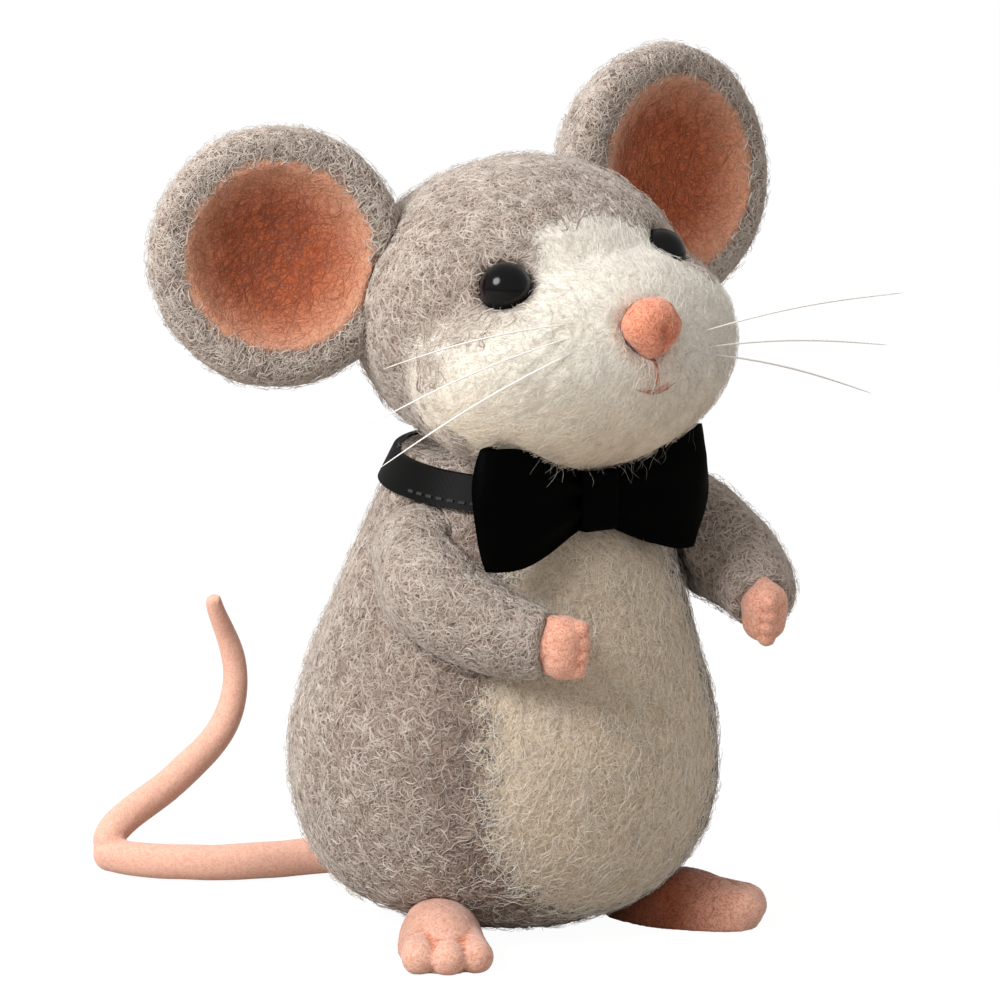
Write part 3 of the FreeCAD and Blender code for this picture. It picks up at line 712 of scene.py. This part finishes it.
def make_ears():
    for i, side in enumerate(SIDES):
        cup, lining = "ear_" + side, "ear_lining_" + side
        skin = felt_skin(cup + "_skin", [cup, lining], 0.5 * MM, 5)
        lumps(skin, [(6, 0.25), (2.4, 0.08)], 9)
        co = coordinates(skin.data)
        pink = share_of(co, lining, cup, 0.7 * MM, 0.25 * MM, 31)
        low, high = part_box(lining)
        middle, reach = middle_of(lining), float((high - low).z) / 2

        def depth(points):
            """1 in the dark middle of the lining, 0 at its pale rim; the dark is partly the lining's own deeper
            colour and partly painted shade of the hollow.
            """
            out = np.linalg.norm(points - middle, axis=1) / reach
            return np.clip((1.05 - out) / 0.5, 0, 1)

        set_attribute(skin, "pink_share", pink)
        # Deeper colour and painted shade in the middle of the lining.
        set_attribute(skin, "deep_and_shading_share", pink * depth(co))
        layers = [("pink_share", "ear"), ("deep_and_shading_share", "ear_deep_" + side)]
        material = felt(cup + "_felt", "grey", layers, contrast=0.8)
        finish_skin(skin, material, "head", [cup, lining])
        grey_wool(cup, skin, "head", 6000, weight=grey_part(pink, 3), seed=10 + i, tone=0.5)

        # Lining strands darker towards the middle, partly their own colour and partly painted shade of the hollow;
        # the left ear's painted shade is lighter.
        def shade(points, rng):
            dark = depth(points) * (1.0 if side == "right" else 0.75) + rng.normal(scale=0.12, size=len(points))
            return np.clip((dark * 3.4).astype(int), 0, 3)

        wool(lining + "_fibres", skin, "ear", "head", 3000, length=(3, 7), radius=(0.02, 0.045),
             bend=(0.2, 1.6), lift=0.1, weight=pink ** 3, seed=12 + i, tint=shade)


def make_limbs():
    for i, side in enumerate(SIDES):
        arm, hand, foot = "arm_" + side, "paw_" + side, "foot_" + side
        skin = felt_skin(arm + "_skin", [arm], 0.5 * MM, 6)
        lumps(skin, [(5, 0.2)], 12 + i)
        finish_skin(skin, felt(arm + "_felt", "grey"), arm, [arm])
        grey_wool(arm, skin, arm, 4200, seed=20 + i, tone=0.9)
        skin = felt_skin(hand + "_skin", [hand], 0.22 * MM, 3)
        lumps(skin, [(2, 0.06)], 14 + i)
        # Painted shade in the paw's grooves: the felt is darker where the skin lies in a hollow.
        set_attribute(skin, "groove_shading_share", hollows(skin, 0.06 * MM, 14))
        material = felt(hand + "_felt", "pink", [("groove_shading_share", "groove")], curl=0.9 * MM, bump=0.25, contrast=0.7)
        finish_skin(skin, material, arm, [hand])
        wool(hand + "_fibres", skin, "pink", arm, 300, length=(1.2, 3), radius=(0.02, 0.045),
             bend=(0.3, 2.0), lift=0.08, seed=22 + i)
        skin = felt_skin(foot + "_skin", [foot, "leg_wire_" + side], 0.3 * MM, 3)
        lumps(skin, [(4, 0.12)], 16 + i)
        low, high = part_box(foot)
        toe = np.array([high.x if side == "left" else low.x, low.y, 2 * MM])

        def under_body(points):
            """How far back a place is from the toes; the left foot gets painted shadow of the body there, the right a
            quarter as much.
            """
            back = np.linalg.norm(points - toe, axis=1)
            return np.clip((back - 4 * MM) / (9 * MM), 0, 1) * (1.0 if side == "left" else 0.25)

        # Painted shadow of the body: foot strands are darker further back, and the right foot's are a step lighter.
        def shadowed_behind(points, rng):
            dark = under_body(points) * 4.2 + rng.normal(loc=1.2, scale=0.6, size=len(points))
            return np.clip(np.round(dark) - (side == "right"), 0, 4).astype(int)

        # Painted shadow of the body on the foot's felt.
        set_attribute(skin, "body_shadow_share", under_body(coordinates(skin.data)))
        # Painted shade in the foot's grooves, as on the paws.
        set_attribute(skin, "groove_shading_share", hollows(skin, 0.14 * MM, 30) * 0.8)
        layers = [("groove_shading_share", "groove"), ("body_shadow_share", "foot_shadowed")]
        material = felt(foot + "_felt", "foot", layers, curl=1.0 * MM, bump=0.25, contrast=0.7)
        finish_skin(skin, material, "torso", [foot])
        wool(foot + "_fibres", skin, "foot", "torso", 800, length=(1.5, 4), radius=(0.025, 0.05),
             bend=(0.3, 2.0), lift=0.08, weight=above_ground(skin), seed=24 + i, tint=shadowed_behind)


def make_nose():
    skin = felt_skin("nose_skin", ["nose"], 0.3 * MM, 3)
    co = coordinates(skin.data)
    low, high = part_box("nose")
    middle, half = middle_of("nose"), np.array(high - low) / 2
    local = (co - middle) / half
    co[:, 0] = middle[0] + (co[:, 0] - middle[0]) * (1 - 0.42 * np.clip(0.1 - local[:, 2], 0, 1) ** 1.3)
    crease = np.exp(-(local[:, 0] / 0.16) ** 2) * np.clip(0.5 - local[:, 2], 0, 1) * (local[:, 1] < 0)
    co[:, 1] += crease * 0.5 * MM
    move_vertices(skin, co)
    lumps(skin, [(2.4, 0.15)], 18)
    dark = np.exp(-((local[:, 0]) ** 2 + (local[:, 2] + 0.1) ** 2) / 0.25) * (local[:, 1] < 0)
    set_attribute(skin, "dark_share", dark * 0.75)
    material = felt("nose_felt", "nose", [("dark_share", "nose_deep")], curl=0.9 * MM)
    finish_skin(skin, material, "head", ["nose"])
    wool("nose_fibres", skin, "nose", "head", 620, length=(1.2, 3), radius=(0.02, 0.045),
         bend=(0.3, 2.2), lift=0.1, seed=27)


def make_tail():
    nodes = ["tail_base", "tail_curl", "tail_base_wire", "tail_curl_wire"]
    skin = felt_skin("tail_skin", nodes, 0.3 * MM, 14)
    lumps(skin, [(4, 0.08)], 19)
    skin.data.materials.append(felt("tail_felt", "tail", curl=1.2 * MM, bump=0.15, contrast=0.6))
    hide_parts(*nodes)
    fibres = wool("tail_fibres", skin, "tail", None, 2200, length=(2, 5), radius=(0.015, 0.035),
                  bend=(0.1, 1.0), lift=0.05, seed=28)
    for piece in [skin] + fibres:
        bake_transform(piece)


# ---------------------------------------------------------------- beads, bristles, ribbon

def dress(node, material):
    """Gives a CAD node its finish and smooth shading."""
    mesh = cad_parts[node].data
    mesh.materials.clear()
    mesh.materials.append(material)
    mesh.polygons.foreach_set("use_smooth", np.ones(len(mesh.polygons), bool))


def make_eyes():
    glass = plain("eye_glass", (0.002, 0.002, 0.0025, 1.0), roughness=0.15, sheen=0.0, shine=0.22)
    steel = plain("steel_wire", linear(150, 150, 152), roughness=0.35, sheen=0.0, metal=1.0)
    for side in SIDES:
        dress("eye_" + side, glass)
        dress("eye_shank_" + side, steel)
        dress("arm_wire_" + side, steel)


BRISTLE_RADIUS, BRISTLE_ARCH = 0.13 * MM, 0.8 * MM
BRISTLE_STEPS = 15


def make_whiskers():
    """One curved bristle for each straight CAD whisker."""
    bristle = plain("whisker_bristle", linear(240, 236, 230), roughness=0.4, sheen=0.0)
    for side in SIDES:
        for i in (1, 2, 3):
            node = f"whisker_{side}_{i}"
            co = coordinates(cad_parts[node].data)
            far = co[:, 0] * SIGN[side]
            root, tip = co[far.argmin()], co[far.argmax()]
            s = np.linspace(0, 1, BRISTLE_STEPS)
            line = root + (tip - root) * s[:, None]
            line[:, 2] += BRISTLE_ARCH * np.sin(math.pi * s)
            ups = np.tile([0.0, -1.0, 0.0], (1, BRISTLE_STEPS, 1))
            verts, faces, _ = strand_tubes(line[None], ups, np.array([BRISTLE_RADIUS]))
            piece = mesh_object("bristle_" + node, verts, faces, [bristle])
            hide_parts(node)
            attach(piece, "head")


def satin(name, colour, roughness=0.6, shine=0.08):
    material, tree, shader = new_material(name)
    place = add(tree, "ShaderNodeTexCoord")
    weave = add(tree, "ShaderNodeTexWave", Scale=1 / (0.9 * MM), Distortion=0.3, Detail=1.0)
    relief = add(tree, "ShaderNodeBump", Strength=0.12, Distance=0.05 * MM)
    tree.links.new(place.outputs["Object"], weave.inputs["Vector"])
    tree.links.new(weave.outputs["Fac"], relief.inputs["Height"])
    tree.links.new(relief.outputs["Normal"], shader.inputs["Normal"])
    shader.inputs["Base Color"].default_value = colour
    shader.inputs["Roughness"].default_value = roughness
    shader.inputs["Specular IOR Level"].default_value = shine
    return material


def wing_grid(centre, sign, reach, half_height, half_depth, rows=25, columns=33):
    """One ribbon loop as (row, column) places: out along the front, round the fold and back again."""
    u = np.linspace(0, 2, columns)[None, :]
    v = np.linspace(-1, 1, rows)[:, None]
    out = 1 - np.abs(1 - u)
    along = out ** 0.9
    gather = 1 - out
    height = half_height * (0.44 + 0.56 * np.sin(np.clip(out * 1.25, 0, 1) * math.pi / 2))
    depth = half_depth * (0.45 + 1.5 * out * (1 - out) + 0.25 * np.sin(out * math.pi))
    face = np.where(u < 1, -1.0, 1.0) * np.clip((1 - out) * 7, 0, 1) ** 0.5
    pleat = 0.55 * MM * np.cos(v * math.pi * 2.5) * gather ** 1.3 + 0.25 * MM * np.cos(v * 4 + 1.0) * out
    belly = 1 - 0.35 * v ** 2
    x = centre[0] + sign * (1.4 * MM + along * reach - (1.5 * MM * v ** 2 - 0.5 * MM * v) * out ** 2)
    y = centre[1] + face * depth * belly + pleat * np.where(u < 1, 1.0, -1.0)
    z = centre[2] + v * height
    return np.stack(np.broadcast_arrays(x, y, z), axis=2)


def thick_sheet(grid, thickness):
    """A closed sheet from a grid of places: both faces and the rim."""
    rows, columns, _ = grid.shape
    du, dv = np.gradient(grid, axis=1), np.gradient(grid, axis=0)
    normal = unit(np.cross(du, dv))
    verts = np.concatenate([(grid + normal * thickness / 2).reshape(-1, 3),
                            (grid - normal * thickness / 2).reshape(-1, 3)])
    index = np.arange(rows * columns).reshape(rows, columns)
    back = index + rows * columns
    a, b, c, d = index[:-1, :-1], index[:-1, 1:], index[1:, 1:], index[1:, :-1]
    faces = [np.stack([a, b, c, d], axis=2).reshape(-1, 4)]
    faces.append(np.stack([d, c, b, a], axis=2).reshape(-1, 4) + rows * columns)
    for edge, other in ((index[0], back[0]), (index[-1, ::-1], back[-1, ::-1]),
                        (index[::-1, 0], back[::-1, 0]), (index[:, -1], back[:, -1])):
        faces.append(np.stack([edge[:-1], other[:-1], other[1:], edge[1:]], axis=1))
    return verts, np.concatenate(faces)


WING_HALF_HEIGHT, WING_HALF_DEPTH = 7.1 * MM, 1.9 * MM
WING_MIDDLE = 7.2 * MM         # height of a wing's middle over its lowest point
WING_END_GAP = 1.6 * MM        # room for the fold at the outer end
RIBBON_THICKNESS = 0.35 * MM


def make_collar():
    ribbon = satin("black_satin", (0.0006, 0.0006, 0.0006, 1.0), shine=0.02)
    band = satin("black_band", (0.004, 0.004, 0.004, 1.0), roughness=0.5, shine=0.06)
    dress("collar_strap", band)
    dress("strap_stitches", plain("black_thread", linear(58, 56, 56), sheen=0.0))
    dress("bow_knot", ribbon)
    centre = middle_of("bow_knot")
    for side in SIDES:
        node = "bow_wing_" + side
        low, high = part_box(node)
        reach = (float(high.x) - centre[0] if side == "left" else centre[0] - float(low.x)) - WING_END_GAP
        middle = centre.copy()
        middle[2] = float(low.z) + WING_MIDDLE
        grid = wing_grid(middle, SIGN[side], reach, WING_HALF_HEIGHT, WING_HALF_DEPTH)
        verts, faces = thick_sheet(grid, RIBBON_THICKNESS)
        piece = mesh_object("ribbon_loop_" + side, verts, faces, [ribbon])
        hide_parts(node)
        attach(piece, "collar")


# ---------------------------------------------------------------- studio

VIEW_AZIMUTH, VIEW_ELEVATION = -36.0, 10.0
VIEW_DISTANCE = 0.65
FRAME_WIDTH = 0.12005           # what the picture takes in at that distance
AIM = (0.0047, 0.0071, 0.0482)
SENSOR_WIDTH = 36.0             # mm
FLOOR_HALF = 3.0
FLOOR_GLOW = 0.88               # share of the floor that the camera sees as white paper
ROOM_LIGHT = 0.58
LIGHT_SIZE = 0.30
# Each light's place from the aim (towards the camera, to its right, up) and its watts.
LIGHTS = {
    "key": ((0.40, -0.38, 0.29), 4.1),
    "side": ((0.34, 0.42, -0.04), 0.22),
    "top": ((0.02, -0.10, 0.55), 1.1),
}


def make_studio():
    scene = bpy.context.scene
    scene.view_settings.view_transform = "Standard"
    az, el = math.radians(VIEW_AZIMUTH), math.radians(VIEW_ELEVATION)
    back = Vector((math.sin(az) * math.cos(el), -math.cos(az) * math.cos(el), math.sin(el)))
    aim = Vector(AIM)
    camera = bpy.data.objects.new("camera", bpy.data.cameras.new("camera"))
    camera.data.sensor_width = SENSOR_WIDTH
    camera.data.lens = camera.data.sensor_width * VIEW_DISTANCE / FRAME_WIDTH
    camera.data.clip_start, camera.data.clip_end = 0.01, 20.0
    camera.location = aim + back * VIEW_DISTANCE
    camera.rotation_euler = back.to_track_quat("Z", "Y").to_euler()
    scene.collection.objects.link(camera)
    scene.camera = camera
    corners = [(x * FLOOR_HALF, y * FLOOR_HALF, 0) for x, y in ((-1, -1), (1, -1), (1, 1), (-1, 1))]
    floor = mesh_object("floor", corners, [(0, 1, 2, 3)], [seen_white("floor_paper", FLOOR_GLOW)])
    scene.world = white_room("studio", ROOM_LIGHT)
    right = Vector((math.cos(az), math.sin(az), 0))
    up = back.cross(right)
    for name, ((towards, across, above), power) in LIGHTS.items():
        place = back * towards + right * across + up * above
        light = bpy.data.objects.new(name, bpy.data.lights.new(name, "AREA"))
        light.data.shape, light.data.size, light.data.energy = "DISK", LIGHT_SIZE, power
        light.visible_glossy = name == "key"
        light.location = aim + place
        light.rotation_euler = place.to_track_quat("Z", "Y").to_euler()
        scene.collection.objects.link(light)


def seen_white(name, glow):
    """Paper that the camera sees as nearly white, with a trace of the figure's shadow."""
    material, tree, shader = new_material(name)
    shader.inputs["Base Color"].default_value = (0.5, 0.47, 0.44, 1.0)
    shader.inputs["Roughness"].default_value = 0.9
    shader.inputs["Specular IOR Level"].default_value = 0.0
    white = add(tree, "ShaderNodeEmission", Color=(1.0, 1.0, 1.0, 1.0), Strength=1.1)
    path = add(tree, "ShaderNodeLightPath")
    share = add(tree, "ShaderNodeMath", operation="MULTIPLY")
    share.inputs[1].default_value = glow
    mix = add(tree, "ShaderNodeMixShader")
    tree.links.new(path.outputs["Is Camera Ray"], share.inputs[0])
    tree.links.new(share.outputs[0], mix.inputs["Fac"])
    tree.links.new(shader.outputs["BSDF"], mix.inputs[1])
    tree.links.new(white.outputs["Emission"], mix.inputs[2])
    tree.links.new(mix.outputs["Shader"], tree.nodes["Material Output"].inputs["Surface"])
    return material


def white_room(name, strength):
    """White all round for the camera, and a softer white for the light that falls on the figure."""
    world = bpy.data.worlds.new(name)
    world.use_nodes = True
    tree = world.node_tree
    seen = tree.nodes["Background"]
    seen.inputs["Color"].default_value = (1.0, 1.0, 1.0, 1.0)
    fill = add(tree, "ShaderNodeBackground", Color=(1.0, 0.985, 0.965, 1.0), Strength=strength)
    path = add(tree, "ShaderNodeLightPath")
    mix = add(tree, "ShaderNodeMixShader")
    tree.links.new(path.outputs["Is Camera Ray"], mix.inputs["Fac"])
    tree.links.new(fill.outputs["Background"], mix.inputs[1])
    tree.links.new(seen.outputs["Background"], mix.inputs[2])
    tree.links.new(mix.outputs["Shader"], tree.nodes["World Output"].inputs["Surface"])
    return world


make_studio()
make_torso()
make_head()
make_ears()
make_limbs()
make_nose()
make_tail()
make_eyes()
make_whiskers()
make_collar()
